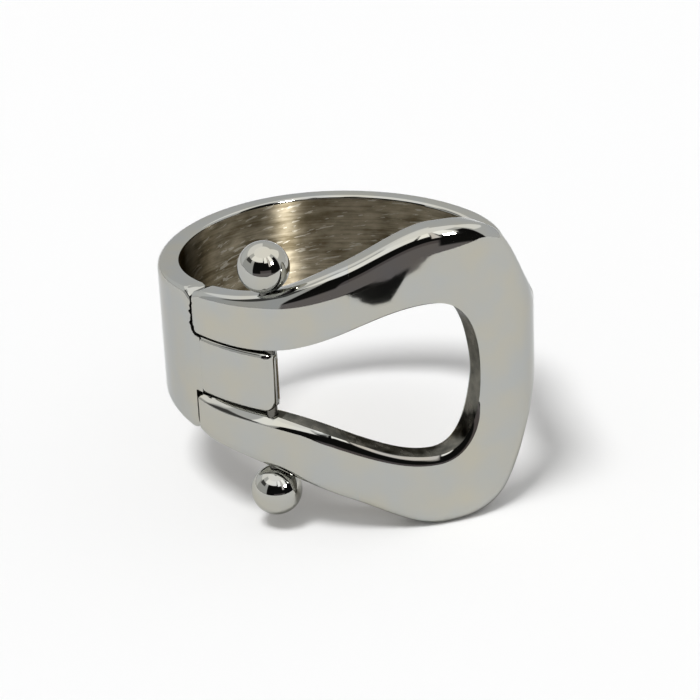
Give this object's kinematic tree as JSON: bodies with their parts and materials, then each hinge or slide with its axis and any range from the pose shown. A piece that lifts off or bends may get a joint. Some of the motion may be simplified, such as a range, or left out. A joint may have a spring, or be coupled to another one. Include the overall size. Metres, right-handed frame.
{
  "type": "hinged stirrup ring",
  "caption": "Finger ring with a tapering shank and a wide open stirrup front, hinged on a ball-ended pin that runs through the stirrup's forked arms and the shank's tongue.",
  "frame": {"origin": "middle of the finger hole, at half the ring's height", "axes": "+Z runs along the finger hole and the hinge pin; -Y points out of the front, in the middle of the open stirrup; +X points to the side where the stirrup's far end meets the shank"},
  "size_m": [0.0208, 0.0214, 0.0172],
  "materials": {
    "shank": "polished nickel-coloured plating outside, fine brushing left on the inner wall",
    "stirrup_loop": "mirror-polished nickel-coloured plating, slightly soft reflections",
    "hinge_pin": "plain drawn pin",
    "balls": "mirror-polished balls"
  },
  "bodies": {
    "shank": {"shank": "shank"},
    "stirrup": {"stirrup_loop": "stirrup_loop"},
    "pin": {"hinge_pin": "hinge_pin", "upper_ball": "balls", "lower_ball": "balls"}
  },
  "joints": [
    {"name": "stirrup_hinge", "type": "hinge", "parent": "shank", "child": "stirrup", "pos_m": [-0.00443, -0.00897, 0], "axis": [0, 0, 1], "range_deg": [-194, 0]},
    {"name": "pin_spin", "type": "hinge", "parent": "stirrup", "child": "pin", "pos_m": [-0.00443, -0.00897, 0], "axis": [0, 0, 1], "continuous": true}
  ]
}
